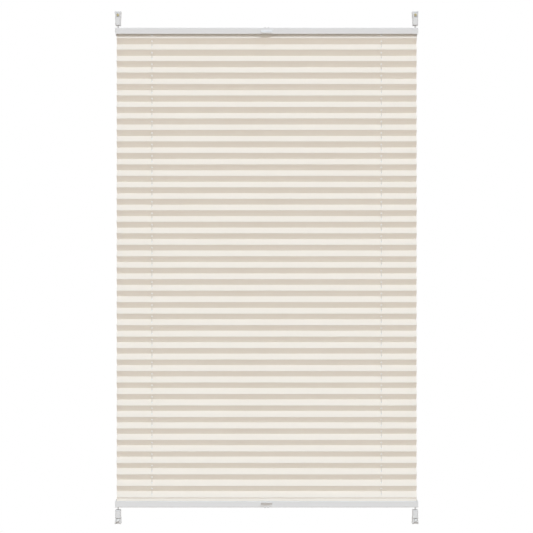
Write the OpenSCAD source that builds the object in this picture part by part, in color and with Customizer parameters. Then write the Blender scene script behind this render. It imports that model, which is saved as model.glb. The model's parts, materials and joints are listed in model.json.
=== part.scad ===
// Pleated blind, clamped to the edge of a window sash, in millimetres.
// The origin lies on the room-side face of the sash, midway between the four clamps.
// The front of the blind faces -Y, +Z is up and +X is to the right.

/* [Blind] */
// Width over the end caps
blind_w = 800; // [500:5:1500]
// Height over both rails with the blind closed
blind_h = 1265; // [500:5:2200]
// Gap between the face of the sash and the back of the rails
sash_gap = 3; // [2.5:0.5:10]

/* [Pleated fabric] */
// Gap between each side edge of the fabric and the end cap beside it
fabric_side_gap = 0.5; // [0.3:0.1:4]
// Flat depth of one panel, from crease to crease
panel_depth = 20; // [18:0.5:26]
// Wanted height of one open pleat, from crest to crest
pleat_pitch = 30; // [20:1:32]
// Thickness of the fabric
fabric_t = 0.4; // [0.2:0.05:0.6]
// Depth of the hem that lies in each rail
hem_w = 14; // [13:0.5:14]
// Distance from the side edge of the fabric to the cord holes
cord_hole_inset = 93; // [40:1:180]
// Diameter of the punched cord holes
cord_hole_d = 4; // [3:0.5:6]

/* [Rails] */
// Depth of the rails from front to back
rail_d = 20; // [19:0.5:30]
// Height of the rails
rail_h = 16.5; // [16:0.5:24]
// Wall of the rails
rail_wall = 1.2; // [0.8:0.1:1.6]
// Outer corner radius of the rails
rail_r = 1.5; // [0.5:0.25:3]
// Thickness of the floor between the cord chamber and the fabric channel
rail_floor_t = 1; // [0.8:0.1:1.5]
// Height of the fabric channel
channel_h = 5; // [4:0.25:5.5]
// Width of the slot that the fabric leaves the rail by
slot_w = 13; // [12.5:0.5:14]
// Wall of the insert strip that traps the hem
strip_t = 1.2; // [0.8:0.1:1.6]

/* [End caps] */
// Thickness of the end caps
cap_t = 3.5; // [3:0.5:6]
// How far the end caps reach past the rail towards the fabric
cap_reach = 4; // [2:0.5:8]
// Height of the slanted outer corner on the fabric side
cap_slant_h = 7; // [3:0.5:9]
// Width of the slanted outer corner on the fabric side
cap_slant_w = 2.5; // [1:0.25:2.75]
// Length of the plug inside the rail
plug_l = 18; // [14:1:30]

/* [Handles] */
// Width of the handles
handle_w = 30; // [20:1:60]
// Wall of the handles
handle_t = 1.6; // [1:0.1:2]
// How far the finger lip stands out from the handle
lip_reach = 8.5; // [6:0.5:11]
// Radius of the lip's front edge seen from above
lip_plan_r = 22; // [18:1:60]
// How far the handle stops short of the rail's fabric edge
handle_short = 1.5; // [0.5:0.25:3]
// How far the handle's plate stops short of the rail's outer face
plate_inset = 3; // [1:0.25:4]
// Corner radius of the handle's plate
plate_r = 3; // [1:0.5:5]
// Width of each prong that grips over the rail
prong_w = 5.5; // [3:0.5:8]
// Thickness of the prongs over the rail's outer face
prong_t = 1; // [0.8:0.1:1.6]
// Gap between the two prongs
prong_gap = 3; // [1.5:0.1:6]
// How far the prongs reach down the front and the back of the rail
prong_drop = 6; // [5:0.5:10]

/* [Cords] */
// Diameter of the cords
cord_d = 1.2; // [0.8:0.1:1.6]
// Radius of the cord bends at the middle of the cord
cord_bend_r = 3; // [2.5:0.25:3.5]
// Distance of each cord from the middle plane of the rails where it leaves them
cord_lane = 2.5; // [2:0.1:3]
// Distance from the outside of the end cap to the cord that leaves it
cord_end_inset = 7.5; // [7:0.5:12]
// Wall of the nose that leads the cord out of the end cap
nose_wall = 0.6; // [0.5:0.1:1]
// Diameter of the knot at each cord end
knot_d = 3.4; // [3:0.1:4]

/* [Clamps] */
// Width of the clamp bodies
clamp_w = 14; // [14:0.5:24]
// Height of the clamp bodies
clamp_h = 37; // [36:0.5:60]
// Gap between the clamps and the rails with the blind closed
clamp_gap = 7; // [4:0.5:12]
// Width over the flared ears
ear_w = 17; // [15:0.1:30]
// Height of the flared ears
ear_h = 13; // [8:0.5:16]
// Corner radius of the ears
ear_r = 1.5; // [0.5:0.25:3]
// Radius of the upper front edge
brow_r = 3; // [1:0.25:6]
// Bevel of the lower edges
foot_bevel = 0.8; // [0.4:0.1:2]
// Wall of the cheeks on both sides of the clamp channel
cheek_t = 2; // [1.8:0.1:2.2]
// Wall at the back of the clamp channel
back_t = 3; // [2:0.25:5]
// Wall of the cord shoe in front of the cord
shoe_wall = 7; // [3:0.5:12]
// Height of the cord shoe below its shoulders
shoe_foot_h = 12; // [8:0.5:14]
// Width of each shoulder that the cord shoe hangs by
shoe_shoulder = 0.8; // [0.5:0.1:1]
// Thickness of the web that the screw head bears on
web_t = 3; // [2:0.25:4]

/* [Clamp hooks] */
// Opening between the two pads for the sash
jaw_open = 18; // [14:0.5:30]
// Travel of the hook each way from that opening
jaw_travel = 2.5; // [1:0.1:3]
// Thickness of the hook's arm and tip
hook_t = 2.8; // [2:0.1:4]
// Thickness of the hook's front leg
leg_t = 4; // [3.5:0.1:6]
// Height of the hook behind the sash
hook_drop = 14; // [10:0.5:20]
// Width of the hook behind the sash
hook_tip_w = 12; // [10:0.5:24]
// Thickness of the pad on the clamp's seat
seat_pad_t = 1; // [0.5:0.1:2]
// Thickness of the pad on the hook
hook_pad_t = 0.8; // [0.5:0.1:2]
// Margin of the pads inside the faces that they are glued to
pad_margin = 1.2; // [0.5:0.1:2]

/* [Clamp screws] */
// Thread diameter of the clamp screws
screw_d = 4; // [3:0.5:5]
// Diameter of the screw heads
screw_head_d = 7; // [6:0.1:8]
// Height of the screw heads
screw_head_h = 2; // [1.8:0.1:3]
// How deep the screw heads sit between the ears
screw_head_inset = 0.3; // [0.2:0.1:2]
// Distance from the top of the clamp to the screw
screw_drop = 10; // [8:0.25:11]
// Length of each slot of the cross recess
recess_l = 4; // [3:0.1:5]
// Width of each slot of the cross recess
recess_w = 1; // [0.6:0.1:1.4]
// Depth of the cross recess
recess_h = 1.4; // [0.8:0.1:1.6]
// Width of the square nuts
nut_w = 7; // [6:0.1:7.5]
// Thickness of the square nuts
nut_t = 2.2; // [1.8:0.1:2.6]

/* [Fits] */
// Clearance between pieces that slide into each other
fit = 0.15; // [0.1:0.05:0.25]
// Clearance of a piece at the end of its travel
stop_gap = 0.3; // [0.2:0.05:0.5]
// Free space between pieces that face each other
face_gap = 1; // [0.5:0.1:1.5]
// Clearance of the screw in its nut
thread_fit = 0.05; // [0.02:0.01:0.1]
// Clearance around the fabric in the rail
hem_fit = 0.05; // [0.02:0.01:0.1]
// Clearance around the cord in its guides
cord_play = 0.4; // [0.3:0.05:0.5]

/* [Hidden] */
$fn = 64;
// Overlap by which a cut runs past the face that it opens
slice = 1;

white_coat = [0.86, 0.86, 0.85];
white_plastic = [0.88, 0.88, 0.86];
cream_cloth = [0.93, 0.91, 0.86];
cord_grey = [0.80, 0.78, 0.74];
yellow_zinc = [0.74, 0.60, 0.36];
bright_zinc = [0.72, 0.73, 0.74];
pad_grey = [0.66, 0.66, 0.65];

RAILS = [["top", 1], ["bottom", -1]];
SIDES = [["left", -1], ["right", 1]];
RAIL_PIECES = ["rail", "handle", "insert_strip"];
CORNER_PIECES = ["end_cap", "cord_guide", "clamp_body", "clamp_hook", "clamp_screw", "clamp_nut",
    "cord_shoe", "seat_pad", "hook_pad"];
NODES = concat(
    ["pleated_fabric"],
    [for (s = SIDES) str(s[0], "_cord")],
    [for (r = RAILS) for (p = RAIL_PIECES) str(r[0], "_", p)],
    [for (r = RAILS) for (s = SIDES) for (p = CORNER_PIECES) str(r[0], "_", s[0], "_", p)]
);
node = "all";

// Places across the blind
rail_l = blind_w - 2 * cap_t;
rail_y = -sash_gap - rail_d / 2;
fabric_w = rail_l - 2 * fabric_side_gap;
cord_x = fabric_w / 2 - cord_hole_inset;
clamp_x = blind_w / 2 - cord_end_inset;

// Upright plane of a cord, seen from above: from the far hole to the clamp, beside the other cord
cord_reach = norm([cord_x + clamp_x, cord_lane]);
cord_slant = atan2(cord_lane, cord_x + clamp_x);

// Heights inside a rail, measured from its outer face towards the fabric
chamber_h = rail_h - 2 * rail_wall - rail_floor_t - channel_h;
inner_d = rail_d - 2 * rail_wall;
floor_top = -rail_wall - chamber_h;
floor_under = floor_top - rail_floor_t;
lip_top = rail_wall - rail_h;
hem_z = lip_top + hem_fit + fabric_t / 2;
strip_under = hem_z + fabric_t / 2 + hem_fit;
cord_run_z = -rail_wall - chamber_h / 2;

// Pleats: the first and last crest lie a third of a pleat outside the rails
lead_share = 1 / 3;
fabric_open_h = blind_h - 2 * rail_h;
pleats = round(fabric_open_h / pleat_pitch + 1 - 2 * lead_share);
pitch = fabric_open_h / (pleats - 1 + 2 * lead_share);
pleat_d = sqrt(pow(panel_depth, 2) - pow(pitch / 2, 2));

// Depth of the fabric at the mouth of the slot, close to its front edge, and where the hem starts above it
slot_y = fit + fabric_t / 2 - slot_w / 2;
lead_y = slot_y + (slot_y + pleat_d / 2) * (hem_z + rail_h) / (lead_share * pitch);

// Cord guides: the mouth is rounded inside the bend of the cord
cord_way_r = cord_d / 2 + cord_play;
mouth_r = cord_bend_r - cord_way_r;
guide_wall = 1.4;

// Noses of the end caps, which take the cord of either side
nose_r = cord_way_r + nose_wall;
nose_d = 2 * (cord_lane + nose_r);
nose_h = clamp_gap - face_gap;

// Depths inside a clamp, measured from the face of the sash
body_back = -seat_pad_t;
channel_back = body_back - back_t;
cord_front = rail_y - cord_lane - cord_way_r - shoe_wall;
works_d = 2 * (jaw_travel + stop_gap) + leg_t + web_t + screw_head_h + screw_head_inset;
clamp_front = min(cord_front, channel_back - works_d);
head_front = clamp_front + screw_head_inset;
web_front = head_front + screw_head_h;
web_back = web_front + web_t;
leg_front = web_back + jaw_travel + stop_gap;
leg_back = leg_front + leg_t;
tip_front = jaw_open + hook_pad_t;
tip_back = tip_front + hook_t;
channel_w = clamp_w - 2 * cheek_t;

// Heights inside a clamp, measured from its rail side
nut_wall = 1;
knot_rise = 2;
arm_under = clamp_h - hook_t;
screw_z = clamp_h - screw_drop;
screw_way_d = screw_d + 4 * fit;
leg_under = screw_z - nut_w / 2 - nut_wall;
shoe_h = leg_under - face_gap;
knot_floor = shoe_foot_h + knot_rise;

module along_x(l) {
    rotate([90, 0, 90]) linear_extrude(l, center = true) children();
}

// Extrudes an outline drawn in X and Z from the depth y0 to the depth y1
module along_y(y0, y1) {
    translate([0, y1, 0]) rotate([90, 0, 0]) linear_extrude(y1 - y0) children();
}

// Rectangle with round corners, from its middle top edge downwards
module round_bar(w, h, r) {
    translate([-w / 2 + r, -h]) square([w - 2 * r, h]);
    translate([-w / 2, -h + r]) square([w, h - 2 * r]);
    for (x = [-1, 1], y = [-r, r - h]) translate([x * (w / 2 - r), y]) circle(r);
}

// What a round corner of the radius r takes away, beyond the middle of its arc in X and Y
module corner_cut(r) {
    difference() {
        square(r + slice);
        circle(r);
    }
}

// Upright bar with round ends over the lanes of both sides' cords
module cord_slot(r, z0, z1) {
    for (side = [-1, 1]) translate([0, side * cord_lane, z0]) cylinder(r = r, h = z1 - z0);
    translate([-r, -cord_lane, z0]) cube([2 * r, 2 * cord_lane, z1 - z0]);
}

module at_middle() {
    translate([0, rail_y, 0]) children();
}

module at_rail(up) {
    at_middle() translate([0, 0, up * blind_h / 2]) mirror([0, 0, up < 0 ? 1 : 0]) children();
}

// Turns the right cord into the left one, which leaves the rails in the other lane
module turned(side) {
    rotate([0, 0, side < 0 ? 180 : 0]) children();
}

module at_side(side) {
    mirror([side < 0 ? 1 : 0, 0, 0]) children();
}

module at_clamp(up, side) {
    translate([side * clamp_x, 0, up * (blind_h / 2 + clamp_gap)])
        mirror([0, 0, up < 0 ? 1 : 0]) children();
}

function unit(v) = v / norm(v);
function square_to(v) = [-v.y, v.x];

// Point beside a bend of the sheet's middle line, at the distance t from both of its panels
function beside_bend(before, here, after, t) =
    let (n1 = square_to(unit(here - before)), n2 = square_to(unit(after - here)))
    here + t * (n1 + n2) / (1 + n1 * n2);

function sheet_face(line, t) = let (last = len(line) - 1) [for (i = [0 : last])
    i == 0 ? line[0] + t * square_to(unit(line[1] - line[0])) :
    i == last ? line[last] + t * square_to(unit(line[last] - line[last - 1])) :
    beside_bend(line[i - 1], line[i], line[i + 1], t)];

function reversed(list) = [for (i = [len(list) - 1 : -1 : 0]) list[i]];
function sheet_outline(line, t) = concat(sheet_face(line, t / 2), reversed(sheet_face(line, -t / 2)));

// Middle line of the fabric from the top hem to the bottom hem, in Y and Z
function pleat_line() =
    let (
        hem_height = blind_h / 2 + hem_z,
        first_crest = fabric_open_h / 2 - lead_share * pitch,
        top_hem = [[lead_y + hem_w, hem_height], [lead_y, hem_height]],
        creases = [for (i = [0 : 2 * pleats - 2])
            [(i % 2 == 0 ? -1 : 1) * pleat_d / 2, first_crest - i * pitch / 2]]
    )
    concat(top_hem, creases, [for (p = reversed(top_hem)) [p.x, -p.y]]);

module pleated_fabric() {
    color(cream_cloth) difference() {
        along_x(fabric_w) polygon(sheet_outline(pleat_line(), fabric_t));
        for (side = [-1, 1])
            translate([side * cord_x, 0, -blind_h / 2]) cylinder(d = cord_hole_d, h = blind_h);
    }
}

// Quarter bend of a cord in its own plane, starting at the angle a
module cord_bend(x, z, a) {
    translate([x, 0, z]) rotate([90, 0, 0]) rotate([0, 0, a])
        rotate_extrude(angle = 90) translate([cord_bend_r, 0]) circle(d = cord_d);
}

// Cord of the right side: from its knot in the clamp into the rail, across to the far hole and down
module cord() {
    run_z = blind_h / 2 + cord_run_z;
    knot_z = blind_h / 2 + clamp_gap + knot_floor + knot_d / 2;
    drop_h = run_z - cord_bend_r;
    color(cord_grey) translate([-cord_x, 0, 0]) rotate([0, 0, cord_slant]) {
        for (up = [0, 1]) mirror([0, 0, up]) {
            translate([cord_reach, 0, knot_z]) sphere(d = knot_d);
            translate([cord_reach, 0, run_z + cord_bend_r])
                cylinder(d = cord_d, h = knot_z - run_z - cord_bend_r);
            cord_bend(cord_reach - cord_bend_r, run_z + cord_bend_r, -90);
            translate([cord_bend_r, 0, run_z]) rotate([0, 90, 0])
                cylinder(d = cord_d, h = cord_reach - 2 * cord_bend_r);
            cord_bend(cord_bend_r, drop_h, 90);
        }
        translate([0, 0, -drop_h]) cylinder(d = cord_d, h = 2 * drop_h);
    }
}

module rail_section() {
    difference() {
        round_bar(rail_d, rail_h, rail_r);
        translate([-inner_d / 2, floor_top]) square([inner_d, chamber_h]);
        translate([-inner_d / 2, lip_top]) square([inner_d, channel_h]);
        translate([-slot_w / 2, -rail_h - slice]) square([slot_w, rail_h + lip_top + 2 * slice]);
    }
}

module rail() {
    color(white_coat) difference() {
        along_x(rail_l) rail_section();
        for (side = [-1, 1]) at_side(side) {
            translate([clamp_x, 0, 0]) cord_slot(nose_r + fit, -rail_wall - slice, slice);
            translate([clamp_x, -nose_d / 2 - fit, -rail_wall - slice])
                cube([cord_end_inset, nose_d + 2 * fit, rail_wall + 2 * slice]);
            translate([cord_x, 0, floor_under - slice])
                cylinder(r = cord_way_r + guide_wall + fit, h = rail_floor_t + 2 * slice);
        }
    }
}

module strip_section() {
    w = inner_d - 2 * fit;
    h = floor_under - fit - strip_under;
    translate([0, strip_under]) difference() {
        translate([-w / 2, 0]) square([w, h]);
        translate([strip_t - w / 2, strip_t]) square([w - 2 * strip_t, h]);
    }
}

module insert_strip() {
    color(white_plastic) difference() {
        along_x(fabric_w) strip_section();
        for (side = [-1, 1])
            translate([side * cord_x, 0, strip_under - slice])
                cylinder(d = cord_hole_d, h = strip_t + 2 * slice);
    }
}

// Flanged bush with a rounded mouth, seated on the rail's floor with its neck through it
module cord_guide() {
    neck_r = cord_way_r + guide_wall;
    flange_r = cord_way_r + mouth_r + guide_wall;
    mouth_z = cord_run_z - cord_way_r;
    color(white_plastic) translate([cord_x, 0, 0]) rotate_extrude() difference() {
        union() {
            translate([cord_way_r, floor_under]) square([neck_r - cord_way_r, rail_floor_t]);
            translate([cord_way_r, floor_top]) square([flange_r - cord_way_r, mouth_z - floor_top]);
        }
        difference() {
            translate([cord_way_r, mouth_z - mouth_r]) square([mouth_r, mouth_r]);
            translate([cord_way_r + mouth_r, mouth_z - mouth_r]) circle(mouth_r);
        }
    }
}

// Way of the cord through the plug, in X and Z, with the inner corner rounded for the bend
module cord_way() {
    translate([clamp_x - cord_way_r, cord_run_z]) square([2 * cord_way_r, -rail_wall - cord_run_z]);
    translate([clamp_x - plug_l, cord_run_z - cord_way_r]) square([plug_l + cord_way_r, 2 * cord_way_r]);
    translate([clamp_x - cord_bend_r, cord_run_z + cord_bend_r]) difference() {
        translate([0, -mouth_r]) square(mouth_r);
        circle(mouth_r);
    }
}

// Plug inside the rail, with a nose through the notch in the rail's outer wall
module cap_plug() {
    plug_w = inner_d - 2 * fit;
    plug_h = chamber_h - 2 * fit;
    way_w = 2 * (cord_lane + cord_way_r);
    plug_under = floor_top + fit;
    difference() {
        union() {
            translate([rail_l / 2 - plug_l, -plug_w / 2, plug_under]) cube([plug_l, plug_w, plug_h]);
            translate([clamp_x, -nose_d / 2, plug_under]) cube([rail_l / 2 - clamp_x, nose_d, -plug_under]);
            translate([clamp_x, 0, 0]) cord_slot(nose_r, plug_under, nose_h);
        }
        along_y(-way_w / 2, way_w / 2) cord_way();
        translate([clamp_x, 0, 0]) cord_slot(cord_way_r, -rail_wall - slice, nose_h + slice);
    }
}

module end_cap() {
    cap_h = rail_h + cap_reach;
    color(white_plastic) {
        intersection() {
            translate([(blind_w - cap_t) / 2, 0, 0]) along_x(cap_t) round_bar(rail_d, cap_h, rail_r);
            along_y(-rail_d, rail_d) translate([blind_w / 2, 0]) polygon([
                [-cap_t, 0], [0, 0], [0, cap_slant_h - cap_h], [-cap_slant_w, -cap_h], [-cap_t, -cap_h]
            ]);
        }
        cap_plug();
    }
}

// Side view of the handle without its prongs: front plate with a finger lip in a quarter-round sweep
module handle_section() {
    plate_under = handle_short - rail_h;
    plate_front = -rail_d / 2 - handle_t;
    translate([plate_front, plate_under]) square([handle_t, -plate_inset - plate_under]);
    translate([plate_front - lip_reach, plate_under]) difference() {
        square([lip_reach + slice, handle_t + lip_reach]);
        translate([0, handle_t + lip_reach]) circle(lip_reach);
    }
}

// Side view of a prong that grips over the rail
module prong_section() {
    difference() {
        translate([0, prong_t]) round_bar(rail_d + 2 * handle_t, prong_drop + prong_t, prong_t / 2);
        translate([-rail_d / 2, -prong_drop - slice]) square([rail_d, prong_drop + slice]);
    }
}

module handle() {
    lip_front = -rail_d / 2 - handle_t - lip_reach;
    plate_h = rail_h - handle_short - plate_inset;
    prong_step = (prong_gap + prong_w) / 2;
    color(white_plastic) {
        intersection() {
            along_x(handle_w) handle_section();
            along_y(lip_front, rail_d) translate([0, -plate_inset]) round_bar(handle_w, plate_h, plate_r);
            translate([0, lip_front + lip_plan_r, -rail_h]) linear_extrude(rail_h) {
                circle(lip_plan_r);
                translate([-handle_w / 2, -lip_plan_r + lip_reach]) square([handle_w, rail_d]);
            }
        }
        for (side = [-1, 1]) translate([side * prong_step, 0, 0]) along_x(prong_w) prong_section();
    }
}

// Front view of a clamp body with its ears
module body_outline() {
    half = [
        [0, 0], [clamp_w / 2 - foot_bevel, 0], [clamp_w / 2, foot_bevel],
        [clamp_w / 2, clamp_h - ear_h], [ear_w / 2, clamp_h - ear_r], [ear_w / 2, clamp_h], [0, clamp_h]
    ];
    for (flip = [0, 1]) mirror([flip, 0]) difference() {
        polygon(half);
        translate([ear_w / 2 - ear_r, clamp_h - ear_r]) corner_cut(ear_r);
    }
}

// Side view of a clamp body: its lower front edge is bevelled and its upper one is round
module body_profile() {
    difference() {
        polygon([
            [body_back, 0], [clamp_front + foot_bevel, 0], [clamp_front, foot_bevel],
            [clamp_front, clamp_h], [body_back, clamp_h]
        ]);
        translate([clamp_front + brow_r, clamp_h - brow_r]) rotate(90) corner_cut(brow_r);
    }
}

module clamp_body() {
    shoulder_w = channel_w + 2 * shoe_shoulder;
    color(white_plastic) difference() {
        intersection() {
            along_y(clamp_front, body_back) body_outline();
            along_x(2 * ear_w) body_profile();
        }
        translate([-channel_w / 2, clamp_front - slice, -slice])
            cube([channel_w, channel_back - clamp_front + slice, leg_under + slice]);
        translate([-channel_w / 2, web_back, leg_under - slice])
            cube([channel_w, channel_back - web_back, clamp_h]);
        translate([-channel_w / 2, clamp_front - slice, leg_under - slice])
            cube([channel_w, web_front - clamp_front + slice, clamp_h]);
        translate([-channel_w / 2, clamp_front, screw_z + screw_head_d / 2 + nut_wall])
            cube([channel_w, channel_back - clamp_front, clamp_h]);
        translate([-channel_w / 2, channel_back - slice, arm_under - stop_gap])
            cube([channel_w, back_t + 2 * slice, clamp_h]);
        translate([-shoulder_w / 2, clamp_front - slice, shoe_foot_h])
            cube([shoulder_w, channel_back - clamp_front + slice, shoe_h + stop_gap - shoe_foot_h]);
        translate([0, web_back + slice, screw_z]) rotate([90, 0, 0])
            cylinder(d = screw_way_d, h = web_t + 2 * slice);
    }
}

// Block that slides into the clamp's channel, hangs on its shoulders and holds the knotted cord end
module cord_shoe() {
    foot_w = channel_w - 2 * fit;
    head_w = foot_w + 2 * shoe_shoulder;
    shoe_front = clamp_front + 2 * fit;
    bevel_cut = foot_bevel + slice;
    pocket_w = knot_d + 4 * cord_play;
    pocket_d = 2 * cord_lane + pocket_w;
    color(white_plastic) difference() {
        along_y(shoe_front, channel_back - fit) {
            translate([-foot_w / 2, 0]) square([foot_w, shoe_h]);
            translate([-head_w / 2, shoe_foot_h]) square([head_w, shoe_h - shoe_foot_h]);
        }
        along_x(2 * clamp_w) polygon([
            [shoe_front - slice, -slice], [shoe_front + bevel_cut, -slice], [shoe_front - slice, bevel_cut]
        ]);
        at_middle() {
            cord_slot(cord_way_r, -slice, shoe_h + slice);
            translate([-pocket_w / 2, -pocket_d / 2, knot_floor - fit])
                cube([pocket_w, pocket_d, shoe_h]);
        }
    }
}

// Arm over the sash edge with a wide tip behind the sash and a front leg that holds the nut
module clamp_hook() {
    leg_w = channel_w - 2 * fit;
    pocket_w = nut_w + 2 * thread_fit;
    tip_under = clamp_h - hook_drop;
    color(white_plastic) difference() {
        union() {
            along_x(leg_w) polygon([
                [leg_front, leg_under], [leg_back, leg_under], [leg_back, arm_under],
                [tip_front, arm_under], [tip_front, tip_under], [tip_back, tip_under],
                [tip_back, clamp_h], [leg_front, clamp_h]
            ]);
            along_y(tip_front, tip_back) translate([0, clamp_h])
                round_bar(hook_tip_w, hook_drop, hook_t / 2);
        }
        translate([0, leg_back + slice, screw_z]) rotate([90, 0, 0])
            cylinder(d = screw_way_d, h = leg_t + 2 * slice);
        translate([-pocket_w / 2, leg_back - nut_t - thread_fit, screw_z - pocket_w / 2])
            cube([pocket_w, nut_t + thread_fit + slice, pocket_w]);
    }
}

module clamp_nut() {
    color(bright_zinc) difference() {
        translate([-nut_w / 2, leg_back - nut_t, screw_z - nut_w / 2]) cube([nut_w, nut_t, nut_w]);
        translate([0, leg_back + slice, screw_z]) rotate([90, 0, 0])
            cylinder(d = screw_d + 2 * thread_fit, h = nut_t + 2 * slice);
    }
}

// Pan-head screw with a cross recess, its shank ending just before the back of the channel
module clamp_screw(coat) {
    shank_l = channel_back - face_gap - web_front;
    crown_r = screw_head_h / 2;
    color(coat) translate([0, head_front, screw_z]) rotate([-90, 0, 0]) difference() {
        rotate_extrude() {
            translate([0, crown_r]) square([screw_head_d / 2, screw_head_h - crown_r]);
            square([screw_head_d / 2 - crown_r, screw_head_h]);
            translate([screw_head_d / 2 - crown_r, crown_r]) circle(crown_r);
            square([screw_d / 2, screw_head_h + shank_l]);
        }
        for (a = [0, 90]) rotate([0, 0, a])
            translate([-recess_l / 2, -recess_w / 2, -slice]) cube([recess_l, recess_w, recess_h + slice]);
    }
}

module seat_pad() {
    w = clamp_w - 2 * pad_margin;
    h = arm_under - stop_gap - 2 * pad_margin;
    color(pad_grey) along_y(body_back, 0) translate([0, h + pad_margin]) round_bar(w, h, pad_margin);
}

module hook_pad() {
    w = hook_tip_w - 2 * pad_margin;
    h = hook_drop - hook_t - 2 * pad_margin;
    color(pad_grey) along_y(jaw_open, tip_front)
        translate([0, arm_under - pad_margin]) round_bar(w, h, pad_margin);
}

function wanted(name) = node == "all" || node == name;

if (wanted("pleated_fabric")) at_middle() pleated_fabric();
for (s = SIDES)
    if (wanted(str(s[0], "_cord"))) at_middle() turned(s[1]) cord();
for (r = RAILS) {
    screw_coat = r[1] > 0 ? yellow_zinc : bright_zinc;
    if (wanted(str(r[0], "_rail"))) at_rail(r[1]) rail();
    if (wanted(str(r[0], "_handle"))) at_rail(r[1]) handle();
    if (wanted(str(r[0], "_insert_strip"))) at_rail(r[1]) insert_strip();
    for (s = SIDES) {
        corner = str(r[0], "_", s[0], "_");
        if (wanted(str(corner, "end_cap"))) at_rail(r[1]) at_side(s[1]) end_cap();
        if (wanted(str(corner, "cord_guide"))) at_rail(r[1]) at_side(s[1]) cord_guide();
        if (wanted(str(corner, "clamp_body"))) at_clamp(r[1], s[1]) clamp_body();
        if (wanted(str(corner, "clamp_hook"))) at_clamp(r[1], s[1]) clamp_hook();
        if (wanted(str(corner, "clamp_screw"))) at_clamp(r[1], s[1]) clamp_screw(screw_coat);
        if (wanted(str(corner, "clamp_nut"))) at_clamp(r[1], s[1]) clamp_nut();
        if (wanted(str(corner, "cord_shoe"))) at_clamp(r[1], s[1]) cord_shoe();
        if (wanted(str(corner, "seat_pad"))) at_clamp(r[1], s[1]) seat_pad();
        if (wanted(str(corner, "hook_pad"))) at_clamp(r[1], s[1]) hook_pad();
    }
}
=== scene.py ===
"""Looks of the pleated blind: its fabric, cords, finishes, light and camera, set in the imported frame."""

import json
import math

import bpy
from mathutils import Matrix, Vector


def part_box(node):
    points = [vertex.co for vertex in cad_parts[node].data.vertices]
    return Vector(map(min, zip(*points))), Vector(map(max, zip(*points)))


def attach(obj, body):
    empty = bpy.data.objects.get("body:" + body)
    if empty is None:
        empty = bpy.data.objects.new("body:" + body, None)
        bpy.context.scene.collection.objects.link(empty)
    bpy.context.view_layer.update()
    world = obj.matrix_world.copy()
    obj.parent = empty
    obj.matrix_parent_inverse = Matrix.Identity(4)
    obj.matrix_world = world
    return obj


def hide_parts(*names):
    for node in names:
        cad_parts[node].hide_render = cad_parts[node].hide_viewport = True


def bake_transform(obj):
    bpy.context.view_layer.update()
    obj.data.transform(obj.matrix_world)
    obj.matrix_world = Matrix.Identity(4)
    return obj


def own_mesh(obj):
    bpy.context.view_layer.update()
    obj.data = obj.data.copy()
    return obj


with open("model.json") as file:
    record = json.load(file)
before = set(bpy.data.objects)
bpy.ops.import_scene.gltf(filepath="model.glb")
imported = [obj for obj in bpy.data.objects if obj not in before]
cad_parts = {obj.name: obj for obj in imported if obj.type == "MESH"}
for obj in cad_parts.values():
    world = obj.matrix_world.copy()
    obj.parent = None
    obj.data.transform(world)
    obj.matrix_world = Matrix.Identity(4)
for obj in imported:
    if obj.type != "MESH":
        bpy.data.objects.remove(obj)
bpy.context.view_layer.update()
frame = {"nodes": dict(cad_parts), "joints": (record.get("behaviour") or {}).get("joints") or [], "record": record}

MM = 0.001
RAILS = {"top": 1, "bottom": -1}
SIDES = ("left", "right")
FIXED = "fixings"

# Pleated fabric. Each lead's height, from the last crest to the rail, is a share of the pitch
PLEATS = 41
LEAD_SHARE = 1 / 3
PANEL_DEPTH = 20 * MM
CLOTH_T = 0.4 * MM
CREASE_R = 0.4 * MM
CREASE_STEPS = 4
COLUMN_STEP = 20 * MM
EDGE_STEP = 0.8 * MM
CUT_EDGE_ANGLE = math.radians(60)

# Depths behind the plane of the cords: of each lead at the hem, of a soft bend on its way there, which also
# has its share of the lead's height, and of the hem's back edge
LEAD_Y = {"top": 3.5 * MM, "bottom": -6.1 * MM}
LEAD_BEND = {"top": None, "bottom": (-4.2 * MM, 0.4)}
HEM_BACK = 6.2 * MM

# Slight bow of the panels: its height, the width in one radian of its wave, and radians from panel to panel
PANEL_BOW = 0.2 * MM
BOW_WAVE = 0.43
BOW_DRIFT = 1.7

# Punched cord holes, in a patch of five columns and five rows of the fabric, clear of its other columns
HOLE_R = 2 * MM
PATCH_W = 3.4 * MM
PATCH_H = 4.4 * MM
PATCH_STEPS = (-1, -0.5, 0, 0.5, 1)
PATCH_LAST = len(PATCH_STEPS) - 1
PATCH_MIDDLE = PATCH_LAST // 2
PATCH_CLEAR = 1.5 * PATCH_W

# Cords
CORD_R = 0.6 * MM
CORD_SIDES = 10
CORD_BEND_R = 3 * MM
BEND_STEPS = 6
DROP_STEPS = 40
CORD_WAY_R = 1.0 * MM

# Overhand knot: its reach, the ring that it runs along, and how often it goes round and through that ring
KNOT_R = 1.7 * MM
KNOT_RING_R = 0.74 * MM
KNOT_ROUNDS = 2
KNOT_LOOPS = 3
KNOT_STEPS = 60

# Rounded edges of the CAD pieces
WELD_REACH = 0.001 * MM
SHARP_ANGLE = math.radians(40)
ROUNDING_STEPS = 2
ROUNDING_WIDTHS = {
    "end_cap": 0.5 * MM,
    "handle": 0.6 * MM,
    "clamp_body": 0.5 * MM,
    "cord_shoe": 0.35 * MM,
    "clamp_hook": 0.5 * MM,
    "clamp_screw": 0.15 * MM,
    "clamp_nut": 0.2 * MM,
    "cord_guide": 0.2 * MM,
    "seat_pad": 0.2 * MM,
    "hook_pad": 0.2 * MM,
    "rail": 0.15 * MM,
    "insert_strip": 0.15 * MM,
}

# Camera, with the width that it sees at the front of the rails
VIEW_DISTANCE = 4.8
FRAME_W = 1405.3 * MM
SENSOR_W = 36
CAMERA_X = -0.4 * MM
CAMERA_Z = 3.0 * MM

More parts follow.
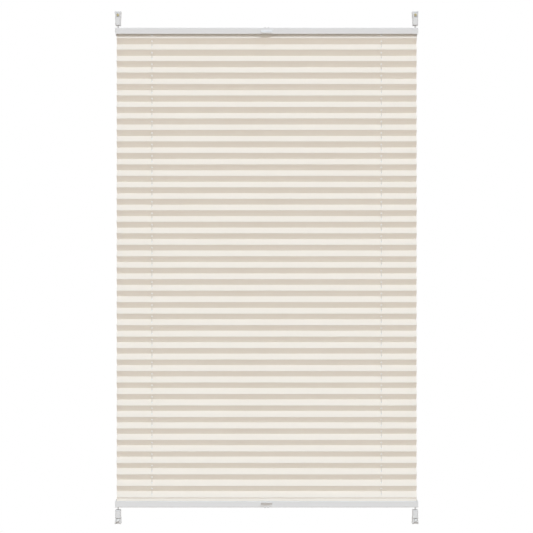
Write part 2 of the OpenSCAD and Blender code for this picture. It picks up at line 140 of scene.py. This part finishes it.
# Fill light from above and below, and lamps: degrees up, degrees right, spread in degrees, level, colour
FILL_HIGH = (0.31, 0.33, 0.36)
FILL_LOW = (0.69, 0.585, 0.495)
LAMPS = {
    "key": (46, 18, 28, 1.45, (0.885, 0.985, 1.075)),
    "front": (-2, -8, 30, 0.48, (1.0, 0.985, 0.97)),
}

# Floor, which fades to white from the near to the far distance
FLOOR_COLOUR = (0.79, 0.69, 0.60)
FLOOR_Z = -1.5
FLOOR_R = 3
FLOOR_SIDES = 96
FLOOR_NEAR = 1.3
FLOOR_FAR = 2.0


class Wire:
    """One output socket of a node tree. Arithmetic on wires adds the Math nodes for it."""

    def __init__(self, nodes, socket):
        self.nodes = nodes
        self.socket = socket

    def math(self, operation, first, second=0.0):
        return self.nodes.add("ShaderNodeMath", {"operation": operation}, {0: first, 1: second})

    def __add__(self, other):
        return self.math("ADD", self, other)

    def __radd__(self, other):
        return self.math("ADD", other, self)

    def __sub__(self, other):
        return self.math("SUBTRACT", self, other)

    def __rsub__(self, other):
        return self.math("SUBTRACT", other, self)

    def __mul__(self, other):
        return self.math("MULTIPLY", self, other)

    def __rmul__(self, other):
        return self.math("MULTIPLY", other, self)

    def __pow__(self, other):
        return self.math("POWER", self, other)

    def __abs__(self):
        return self.math("ABSOLUTE", self)

    def sine(self):
        return self.math("SINE", self)

    def fraction(self):
        return self.math("FRACT", self)

    def at_most(self, other):
        return self.math("MINIMUM", self, other)

    def at_least(self, other):
        return self.math("MAXIMUM", self, other)


class Nodes:
    """Adds nodes to the tree of one material or world."""

    def __init__(self, owner):
        owner.use_nodes = True
        self.owner = owner
        self.tree = owner.node_tree
        self.tree.nodes.clear()

    def add(self, kind, settings=None, sockets=None, output=0):
        """A node of that kind: first its settings, then the values or wires of its sockets."""
        node = self.tree.nodes.new(kind)
        for name, value in (settings or {}).items():
            setattr(node, name, value)
        for key, value in (sockets or {}).items():
            if isinstance(value, Wire):
                self.tree.links.new(value.socket, node.inputs[key])
            else:
                node.inputs[key].default_value = value
        return Wire(self, node.outputs[output]) if node.outputs else None

    def mix(self, share, first, second):
        """Mix of two colours, which are sockets 6 and 7 of the node."""
        sockets = {0: share, 6: first, 7: second}
        return self.add("ShaderNodeMix", {"data_type": "RGBA"}, sockets, output=2)

    def stretched(self, vector, by):
        return self.add("ShaderNodeVectorMath", {"operation": "MULTIPLY"}, {0: vector, 1: by})

    def axes(self, vector):
        node = self.add("ShaderNodeSeparateXYZ", None, {"Vector": vector}).socket.node
        return [Wire(self, socket) for socket in node.outputs]

    def place(self):
        """Position on the piece, in metres, at rest and in every pose."""
        return self.add("ShaderNodeTexCoord", output="Object")

    def noise(self, vector, scale):
        return self.add("ShaderNodeTexNoise", None, {"Vector": vector, "Scale": scale})

    def bump(self, height, depth, strength):
        sockets = {"Height": height, "Distance": depth, "Strength": strength}
        return self.add("ShaderNodeBump", None, sockets)

    def finish(self, **sockets):
        """Closes a material with its surface shader. A socket is named with _ for each space."""
        named = {name.replace("_", " "): value for name, value in sockets.items()}
        surface = self.add("ShaderNodeBsdfPrincipled", None, named)
        self.add("ShaderNodeOutputMaterial", None, {"Surface": surface})
        return self.owner


def colour(red, green, blue):
    return (red, green, blue, 1.0)


def new_nodes(name):
    return Nodes(bpy.data.materials.new(name))


def pleat_cloth():
    """Cream polyester in a fine plain weave, with slubs along the weft and a soft sheen."""
    thread = 0.5 * MM
    nodes = new_nodes("pleat_cloth")
    flat = nodes.add("ShaderNodeUVMap", {"uv_map": "cloth"})
    across, along, _ = nodes.axes(flat)
    over = (across * (math.pi / thread)).sine() * (along * (math.pi / thread)).sine()
    warp = 1 - abs((across * (1 / thread)).fraction() * 2 - 1) ** 2
    weft = 1 - abs((along * (1 / thread)).fraction() * 2 - 1) ** 2
    weave = warp * (over * 0.5 + 0.5) + weft * (0.5 - over * 0.5)
    slub = nodes.noise(nodes.stretched(flat, (70, 1600, 1)), scale=1.0)
    tone = nodes.noise(flat, scale=7.0)
    base = nodes.mix(slub * 0.6 + tone * 0.4, colour(0.865, 0.815, 0.735), colour(0.915, 0.875, 0.805))
    return nodes.finish(
        Base_Color=base,
        Roughness=0.8 + slub * 0.12,
        Normal=nodes.bump(weave + slub * 0.8, depth=0.05 * MM, strength=0.5),
        Sheen_Weight=0.12,
        Sheen_Roughness=0.5,
        Specular_IOR_Level=0.25,
    )


def cord_braid():
    """Pale grey cord, braided from strands that cross in both directions."""
    strand_pitch = 1.1 * MM
    strands = 4
    nodes = new_nodes("cord_braid")
    round_way, _, _ = nodes.axes(nodes.add("ShaderNodeUVMap", {"uv_map": "cord"}))
    x, _, z = nodes.axes(nodes.place())
    length = (x + z) * (2 * math.pi / strand_pitch)
    right_hand = (length + round_way * (2 * math.pi * strands)).sine()
    left_hand = (length - round_way * (2 * math.pi * strands)).sine()
    braid = right_hand * left_hand * 0.5 + 0.5
    fuzz = nodes.noise(nodes.place(), scale=3500.0)
    base = nodes.mix(braid * 0.7 + fuzz * 0.3, colour(0.57, 0.555, 0.53), colour(0.79, 0.775, 0.74))
    return nodes.finish(
        Base_Color=base,
        Roughness=0.75 + fuzz * 0.15,
        Normal=nodes.bump(braid + fuzz * 0.3, depth=0.1 * MM, strength=0.8),
        Specular_IOR_Level=0.3,
    )


def rail_coat():
    """White powder coat with a fine orange peel."""
    nodes = new_nodes("rail_coat")
    place = nodes.place()
    peel = nodes.noise(place, scale=900.0)
    drift = nodes.noise(place, scale=9.0)
    base = nodes.mix(peel * 0.4 + drift * 0.6, colour(0.722, 0.724, 0.722), colour(0.772, 0.774, 0.772))
    return nodes.finish(
        Base_Color=base,
        Roughness=0.36 + drift * 0.08,
        Normal=nodes.bump(peel, depth=0.03 * MM, strength=0.35),
    )


def white_plastic():
    """Moulded white plastic with a fine spark-eroded grain."""
    nodes = new_nodes("white_plastic")
    place = nodes.place()
    grain = nodes.noise(place, scale=2600.0)
    flow = nodes.noise(nodes.stretched(place, (1, 1, 0.35)), scale=160.0)
    base = nodes.mix(grain * 0.35 + flow * 0.65, colour(0.722, 0.730, 0.730), colour(0.780, 0.784, 0.784))
    return nodes.finish(
        Base_Color=base,
        Roughness=0.4 + flow * 0.12,
        Normal=nodes.bump(grain, depth=0.02 * MM, strength=0.3),
    )


def strip_plastic():
    """Extruded white plastic with faint drawing lines along its length."""
    nodes = new_nodes("strip_plastic")
    lines = nodes.noise(nodes.stretched(nodes.place(), (6, 1500, 1500)), scale=1.0)
    base = nodes.mix(lines, colour(0.66, 0.66, 0.65), colour(0.74, 0.74, 0.73))
    return nodes.finish(
        Base_Color=base,
        Roughness=0.35 + lines * 0.1,
        Normal=nodes.bump(lines, depth=0.02 * MM, strength=0.4),
    )


def zinc(name, pale, deep, drift_colour):
    """Plated steel: brushed by the tool, with a passivation that drifts in hue."""
    nodes = new_nodes(name)
    place = nodes.place()
    drift = nodes.noise(place, scale=420.0)
    grain = nodes.noise(place, scale=5200.0)
    plated = nodes.mix(grain, colour(*pale), colour(*deep))
    return nodes.finish(
        Base_Color=nodes.mix(drift, plated, colour(*drift_colour)),
        Roughness=0.3 + grain * 0.2,
        Normal=nodes.bump(grain, depth=0.02 * MM, strength=0.3),
        Metallic=1.0,
    )


def pad_foam():
    """Grey closed-cell foam, cut to shape."""
    nodes = new_nodes("pad_foam")
    place = nodes.place()
    cells = nodes.add("ShaderNodeTexVoronoi", None, {"Vector": place, "Scale": 2200.0})
    tone = nodes.noise(place, scale=300.0)
    base = nodes.mix(cells * 0.8 + tone * 0.2, colour(0.30, 0.30, 0.30), colour(0.46, 0.46, 0.45))
    return nodes.finish(
        Base_Color=base,
        Roughness=0.85 + tone * 0.1,
        Normal=nodes.bump(cells, depth=0.1 * MM, strength=0.7),
    )


FINISHES = {
    "pleat_cloth": pleat_cloth(),
    "cord_braid": cord_braid(),
    "rail_coat": rail_coat(),
    "white_plastic": white_plastic(),
    "strip_plastic": strip_plastic(),
    "yellow_zinc": zinc("yellow_zinc", (0.42, 0.35, 0.185), (0.30, 0.25, 0.13), (0.39, 0.345, 0.225)),
    "bright_zinc": zinc("bright_zinc", (0.64, 0.65, 0.66), (0.46, 0.47, 0.49), (0.56, 0.57, 0.56)),
    "pad_foam": pad_foam(),
}


def round_edges(node, width):
    """Rounds the sharp edges of a CAD piece, without a change to its own mesh."""
    weld = node.modifiers.new("joined_corners", "WELD")
    weld.merge_threshold = WELD_REACH
    bevel = node.modifiers.new("rounded_edges", "BEVEL")
    bevel.width = width
    bevel.segments = ROUNDING_STEPS
    bevel.limit_method = "ANGLE"
    bevel.angle_limit = SHARP_ANGLE
    bevel.miter_outer = "MITER_ARC"
    node.modifiers.new("even_shading", "WEIGHTED_NORMAL")


def finish_cad_pieces():
    """Gives each CAD piece the finish that the record names, and rounded edges by its kind."""
    for part in frame["record"]["subparts"]:
        name = part["node"]
        node = frame["nodes"][name]
        node.data.materials.clear()
        node.data.materials.append(FINISHES[part["material_slot"]])
        for kind, width in ROUNDING_WIDTHS.items():
            if name.endswith(kind):
                round_edges(node, width)
                break


def new_piece(name, points, faces, finish, uv_name, uvs):
    """A mesh piece. uvs has one pair for each corner of each face, in order."""
    mesh = bpy.data.meshes.new(name)
    mesh.from_pydata(points, [], faces)
    layer = mesh.uv_layers.new(name=uv_name)
    for corner, pair in zip(layer.data, uvs):
        corner.uv = pair
    mesh.shade_smooth()
    mesh.materials.append(FINISHES[finish])
    piece = bpy.data.objects.new(name, mesh)
    bpy.context.scene.collection.objects.link(piece)
    return piece


def middle(node):
    low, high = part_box(node)
    return (low + high) / 2


class Stretch:
    """A panel or crease in the side view: where it starts along the fabric, its length and its points."""

    def __init__(self, kind, start, length, point):
        self.kind = kind
        self.start = start
        self.length = length
        self.point = point

    def lean(self):
        """How far a panel goes back in each length of it."""
        return (self.point(self.length) - self.point(0)).x / self.length


class PleatLine:
    """Side view of one half of the fabric, from the middle crest up to its hem, as pairs of Y and Z."""

    def __init__(self, rail):
        rail_low, rail_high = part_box("top_rail")
        fabric_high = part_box("pleated_fabric")[1]
        self.hole_x = middle("top_right_cord_guide").x
        self.half_w = fabric_high.x
        self.mid_y = (rail_low.y + rail_high.y) / 2
        self.rail_z = rail_low.z
        hem_z = fabric_high.z - CLOTH_T / 2
        pitch = 2 * self.rail_z / (PLEATS - 1 + 2 * LEAD_SHARE)
        half_depth = math.sqrt(PANEL_DEPTH**2 - (pitch / 2) ** 2) / 2
        corners = [
            Vector((self.mid_y + half_depth * (1 if k % 2 else -1), k * pitch / 2))
            for k in range(-1, PLEATS)
        ]
        if LEAD_BEND[rail]:
            bend_y, share = LEAD_BEND[rail]
            crest_z = (PLEATS - 1) * pitch / 2
            corners.append(Vector((self.mid_y + bend_y, crest_z + share * (self.rail_z - crest_z))))
        corners.append(Vector((self.mid_y + LEAD_Y[rail], hem_z)))
        corners.append(Vector((self.mid_y + HEM_BACK, hem_z)))
        self.stretches = []
        self.length = 0.0
        self.lay_line(corners)

    def lay_line(self, corners):
        """Lays panels and creases one after the other."""
        here = None
        for before, corner, after in zip(corners, corners[1:], corners[2:]):
            way_in = (corner - before).normalized()
            way_out = (after - corner).normalized()
            turn = way_in.angle_signed(way_out)
            cut = CREASE_R * math.tan(abs(turn) / 2)
            if here is not None:
                self.lay_panel(here, corner - way_in * cut)
            self.lay_crease(corner - way_in * cut, way_in, turn, from_middle=here is None)
            here = corner + way_out * cut
        self.lay_panel(here, corners[-1])

    def lay_panel(self, start, end):
        way = (end - start).normalized()
        self.lay("panel", (end - start).length, lambda s: start + way * s)

    def lay_crease(self, start, way, turn, from_middle):
        """An arc that turns by that signed angle, clockwise when positive as angle_signed has it."""
        side = 1 if turn > 0 else -1
        inward = Vector((way.y, -way.x)) * side
        centre = start + inward * CREASE_R
        skipped = abs(turn) / 2 * CREASE_R if from_middle else 0.0

        def point(s):
            angle = (s + skipped) / CREASE_R
            return centre - inward * (CREASE_R * math.cos(angle)) + way * (CREASE_R * math.sin(angle))

        self.lay("crease", abs(turn) * CREASE_R - skipped, point)

    def lay(self, kind, length, point):
        self.stretches.append(Stretch(kind, self.length, length, point))
        self.length += length

    def crossing(self, panel):
        """Distance along a panel to the plane of the cords, or None where it has no room for a hole."""
        distance = (self.mid_y - panel.point(0).x) / panel.lean()
        return distance if PATCH_H < distance < panel.length - PATCH_H else None


def cloth_rows(line):
    """Rows of the fabric from the middle up: (stretch, distance in it, first row of its patch)."""
    rows = []
    for stretch in line.stretches:
        if stretch.kind == "crease":
            rows += [(stretch, stretch.length * i / CREASE_STEPS, None) for i in range(CREASE_STEPS + 1)]
        elif line.crossing(stretch):
            patch = len(rows)
            rows += [(stretch, line.crossing(stretch) + PATCH_H * step, patch) for step in PATCH_STEPS]
    hem = line.stretches[-1]
    rows.append((hem, hem.length, None))
    return rows


def cloth_columns(line):
    """Places of the fabric's columns, with the five columns of each patch among them."""
    hole_x = line.hole_x
    patches = [side * hole_x + PATCH_W * step for side in (-1, 1) for step in PATCH_STEPS]
    edges = [side * (line.half_w - inset) for side in (-1, 1) for inset in (0, EDGE_STEP)]
    count = round(2 * line.half_w / COLUMN_STEP)
    plain = [line.half_w * (2 * i / count - 1) for i in range(1, count)]
    clear = [x for x in plain if min(abs(abs(x) - hole_x), line.half_w - abs(x)) > PATCH_CLEAR]
    return sorted(patches + edges + clear)


def patch_border():
    """Columns and rows of the points round a patch, in order."""
    steps = range(PATCH_LAST)
    return (
        [(a, 0) for a in steps]
        + [(PATCH_LAST, b) for b in steps]
        + [(PATCH_LAST - a, PATCH_LAST) for a in steps]
        + [(0, PATCH_LAST - b) for b in steps]
    )


class FoldedSheet:
    """Mesh of one half of the fabric: its points, where each lies on the flat sheet, and its faces."""

    def __init__(self, line, up):
        self.line = line
        self.up = up
        self.points = []
        self.flats = []
        self.faces = []
        self.lay_out(cloth_rows(line), cloth_columns(line))

    def lay_out(self, rows, columns):
        """Grid of rows and columns, in which each patch is filled round a punched hole."""
        starts = [columns.index(side * self.line.hole_x + PATCH_W * PATCH_STEPS[0]) for side in (-1, 1)]
        patches = [(i, j) for j, row in enumerate(rows) if row[2] == j for i in starts]
        steps = range(PATCH_LAST)
        covered = {(i + a, j + b) for i, j in patches for a in steps for b in steps}
        inside = {(i + a, j + b) for i, j in patches for a in steps[1:] for b in steps[1:]}
        index = {
            (i, j): self.add_point(stretch, x, s)
            for j, (stretch, s, _) in enumerate(rows)
            for i, x in enumerate(columns)
            if (i, j) not in inside
        }
        for j in range(len(rows) - 1):
            for i in range(len(columns) - 1):
                if (i, j) not in covered:
                    self.faces.append((index[i, j], index[i + 1, j], index[i + 1, j + 1], index[i, j + 1]))
        border = patch_border()
        for i, j in patches:
            panel, s, _ = rows[j + PATCH_MIDDLE]
            rim = [index[i + a, j + b] for a, b in border]
            self.punch(panel, columns[i + PATCH_MIDDLE], s, border, rim)

    def add_point(self, stretch, x, s):
        y, z = stretch.point(s)
        if stretch.kind == "panel":
            wave = math.sin(x / BOW_WAVE + stretch.start / PANEL_DEPTH * BOW_DRIFT)
            y += PANEL_BOW * wave * math.sin(math.pi * s / stretch.length)
        self.points.append((x, y, self.up * z))
        self.flats.append((x + self.line.half_w, stretch.start + s))
        return len(self.points) - 1

    def punch(self, panel, x, s, border, rim):
        """Fills a patch from its rim to a hole that is round when seen along the cord."""
        reach = HOLE_R / abs(panel.lean())
        ring = []
        for a, b in border:
            turn = math.atan2(PATCH_STEPS[b], PATCH_STEPS[a])
            ring.append(self.add_point(panel, x + HOLE_R * math.cos(turn), s + reach * math.sin(turn)))
        for k in range(len(border)):
            following = (k + 1) % len(border)
            self.faces.append((rim[k], rim[following], ring[following], ring[k]))


def fabric_half(rail):
    """One half of the folded sheet, with a punched hole where each cord crosses a panel."""
    up = RAILS[rail]
    line = PleatLine(rail)
    folded = FoldedSheet(line, up)
    faces = folded.faces if up > 0 else [tuple(reversed(face)) for face in folded.faces]
    uvs = [folded.flats[corner] for face in faces for corner in face]
    half = new_piece(f"{rail}_half_fabric", folded.points, faces, "pleat_cloth", "cloth", uvs)
    solid = half.modifiers.new("thickness", "SOLIDIFY")
    solid.thickness = CLOTH_T
    solid.offset = 0
    split = half.modifiers.new("cut_edges", "EDGE_SPLIT")
    split.split_angle = CUT_EDGE_ANGLE
    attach(half, FIXED)
    squash_to_middle(half, rail, line.rail_z)
    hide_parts("pleated_fabric")


def travel(rail):
    """How far that rail slides from rest to its limit."""
    joint = next(j for j in frame["joints"] if j["name"] == f"{rail}_rail_slide")
    return max(abs(limit) for limit in joint["range_m"])


def squash_to_middle(piece, rail, height):
    """Gives the piece a mesh of its own; the share of its height that would stay with the rail is worked out but
    not used.
    """
    keep = (height - travel(rail)) / height
    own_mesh(piece)


def tube(name, route):
    """A round cord along a route of points."""
    points, faces, uvs = [], [], []
    count = len(route)
    distance = 0.0
    normal = None
    distances = []
    for k, spot in enumerate(route):
        way = (route[min(k + 1, count - 1)] - route[max(k - 1, 0)]).normalized()
        if normal is None:
            normal = way.orthogonal().normalized()
        normal = (normal - way * normal.dot(way)).normalized()
        side = way.cross(normal)
        if k:
            distance += (spot - route[k - 1]).length
        distances.append(distance)
        for n in range(CORD_SIDES):
            turn = 2 * math.pi * n / CORD_SIDES
            points.append(spot + (normal * math.cos(turn) + side * math.sin(turn)) * CORD_R)
    for k in range(count - 1):
        for n in range(CORD_SIDES):
            ring = [(k, n), (k, n + 1), (k + 1, n + 1), (k + 1, n)]
            faces.append([a * CORD_SIDES + b % CORD_SIDES for a, b in ring])
            uvs += [(b / CORD_SIDES, distances[a]) for a, b in ring]
    for ring_start, order in ((0, -1), (len(points) - CORD_SIDES, 1)):
        faces.append(list(range(ring_start, ring_start + CORD_SIDES))[::order])
        uvs += [(0.5, distances[0])] * CORD_SIDES
    return new_piece(name, points, faces, "cord_braid", "cord", uvs)


def bend(centre, start, end):
    """Quarter bend of a cord about a centre, from one direction to another square to it."""
    turns = [math.pi / 2 * i / BEND_STEPS for i in range(BEND_STEPS + 1)]
    return [centre + (start * math.cos(t) + end * math.sin(t)) * CORD_BEND_R for t in turns]


def straight(start, end, steps):
    return [start.lerp(end, i / steps) for i in range(steps + 1)]


def knot(centre):
    """Route of a small overhand knot about an upright cord."""
    route = []
    for i in range(KNOT_STEPS):
        turn = 2 * math.pi * i / KNOT_STEPS
        radius = KNOT_RING_R + CORD_R * math.cos(KNOT_LOOPS * turn)
        x = radius * math.cos(KNOT_ROUNDS * turn)
        y = radius * math.sin(KNOT_ROUNDS * turn)
        route.append(centre + Vector((x, y, CORD_R * math.sin(KNOT_LOOPS * turn))))
    return route


def ends_of(node, up):
    """Heights of a piece's end towards the middle of the blind and of its end away from it."""
    low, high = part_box(node)
    return (low.z, high.z) if up > 0 else (high.z, low.z)


def lift_cord(side):
    """One cord, in the pieces that stay and the pieces that slide with a rail."""
    name = f"{side}_cord"
    far = "left" if side == "right" else "right"
    cord_low, cord_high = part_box(name)
    clamp_y = cord_high.y - KNOT_R if side == "right" else cord_low.y + KNOT_R
    for rail, up in RAILS.items():
        rail_set = f"{rail}_rail_set"
        outward = Vector((0, 0, up))
        clamp_x = middle(f"{rail}_{side}_cord_shoe").x
        hole = middle(f"{rail}_{far}_cord_guide")
        foot_z, mouth_z = ends_of(f"{rail}_{far}_cord_guide", up)
        clamp_z, _ = ends_of(f"{rail}_{side}_clamp_body", up)
        _, nose_z = ends_of(f"{rail}_{side}_end_cap", up)
        knot_z = up * (cord_high.z - KNOT_R)
        run_z = mouth_z + up * CORD_WAY_R
        heights = (knot_z, clamp_z, nose_z, run_z + up * CORD_BEND_R)
        at_knot, at_clamp, at_nose, at_bend = [Vector((clamp_x, clamp_y, z)) for z in heights]

        end = tube(f"{rail}_{name}_end", [at_knot, at_clamp, at_nose, at_bend])
        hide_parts(name)
        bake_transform(end)
        tied = tube(f"{rail}_{name}_knot", knot(at_knot))
        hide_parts(name)
        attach(tied, FIXED)

        way = Vector((hole.x - clamp_x, hole.y - clamp_y, 0)).normalized()
        turn_down = Vector((hole.x, hole.y, run_z - up * CORD_BEND_R)) - way * CORD_BEND_R
        into_rail = bend(at_bend + way * CORD_BEND_R, -way, -outward)
        out_of_rail = bend(turn_down, outward, way)
        foot = Vector((hole.x, hole.y, foot_z))
        run = tube(f"{rail}_{name}_run", into_rail + out_of_rail + [foot])
        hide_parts(name)
        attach(run, rail_set)

        blind_middle = Vector((hole.x, hole.y, 0))
        drop = tube(f"{rail}_{name}_drop", straight(foot, blind_middle, DROP_STEPS))
        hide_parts(name)
        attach(drop, FIXED)
        squash_to_middle(drop, rail, abs(foot_z))


def camera():
    """Straight front view, with the camera level."""
    lens = bpy.data.cameras.new("camera")
    lens.sensor_width = SENSOR_W
    lens.lens = SENSOR_W * VIEW_DISTANCE / FRAME_W
    viewer = bpy.data.objects.new("camera", lens)
    rail_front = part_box("top_rail")[0].y
    viewer.location = (CAMERA_X, rail_front - VIEW_DISTANCE, CAMERA_Z)
    viewer.rotation_euler = (math.pi / 2, 0, 0)
    bpy.context.scene.collection.objects.link(viewer)
    bpy.context.scene.camera = viewer


def seen(nodes):
    """1 for rays from the camera, straight or by way of gloss or glass."""
    path = nodes.add("ShaderNodeLightPath").socket.node.outputs
    names = ("Is Camera Ray", "Is Glossy Ray", "Is Transmission Ray")
    direct, by_gloss, by_glass = [Wire(nodes, path[name]) for name in names]
    return (direct + by_gloss + by_glass).at_most(1.0)


def studio():
    """Fill from all round, warmer from below, lamps high up and straight in front, and a pale floor."""
    world = bpy.data.worlds.new("studio")
    nodes = Nodes(world)
    _, _, height = nodes.axes(nodes.add("ShaderNodeTexCoord", output="Generated"))
    sky = nodes.mix(height * 0.5 + 0.5, colour(*FILL_LOW), colour(*FILL_HIGH))
    fill = nodes.add("ShaderNodeBackground", None, {"Color": sky, "Strength": 1.0})
    white = nodes.add("ShaderNodeBackground", None, {"Color": colour(1, 1, 1), "Strength": 1.0})
    shown = nodes.add("ShaderNodeMixShader", None, {0: seen(nodes), 1: fill, 2: white})
    nodes.add("ShaderNodeOutputWorld", None, {"Surface": shown})
    bpy.context.scene.world = world

    for name, (rise, right, spread, level, tint) in LAMPS.items():
        far_lamp(name, math.radians(rise), math.radians(right), math.radians(spread), level, tint)

    bpy.ops.mesh.primitive_circle_add(
        vertices=FLOOR_SIDES, radius=FLOOR_R, fill_type="NGON", location=(0, 0, FLOOR_Z)
    )
    floor = bpy.context.object
    floor.name = "floor"
    floor.data.materials.append(floor_paint())


def far_lamp(name, rise, right, spread, level, tint):
    """A soft lamp far away, at those angles up and to the right of straight in front."""
    lamp = bpy.data.lights.new(name, "SUN")
    lamp.angle = spread
    lamp.energy = level
    lamp.color = tint
    stand = bpy.data.objects.new(name, lamp)
    flat = math.cos(rise)
    towards_lamp = Vector((flat * math.sin(right), -flat * math.cos(right), math.sin(rise)))
    stand.rotation_euler = towards_lamp.to_track_quat("Z", "Y").to_euler()
    bpy.context.scene.collection.objects.link(stand)


def floor_paint():
    """Pale matt floor that fades to white away from the object."""
    nodes = new_nodes("floor_paint")
    place = nodes.place()
    distance = nodes.add("ShaderNodeVectorMath", {"operation": "LENGTH"}, {0: place}, output="Value")
    away = ((distance - FLOOR_NEAR) * (1 / (FLOOR_FAR - FLOOR_NEAR))).at_least(0.0).at_most(1.0)
    pale = nodes.add("ShaderNodeBsdfDiffuse", None, {"Color": colour(*FLOOR_COLOUR)})
    white = nodes.add("ShaderNodeEmission", None, {"Color": colour(1, 1, 1), "Strength": 1.0})
    shown = nodes.add("ShaderNodeMixShader", None, {0: seen(nodes) * away, 1: pale, 2: white})
    nodes.add("ShaderNodeOutputMaterial", None, {"Surface": shown})
    return nodes.owner


bpy.context.scene.view_settings.view_transform = "Standard"
camera()
for side_name in SIDES:
    lift_cord(side_name)
for rail_name in RAILS:
    fabric_half(rail_name)
finish_cad_pieces()
studio()
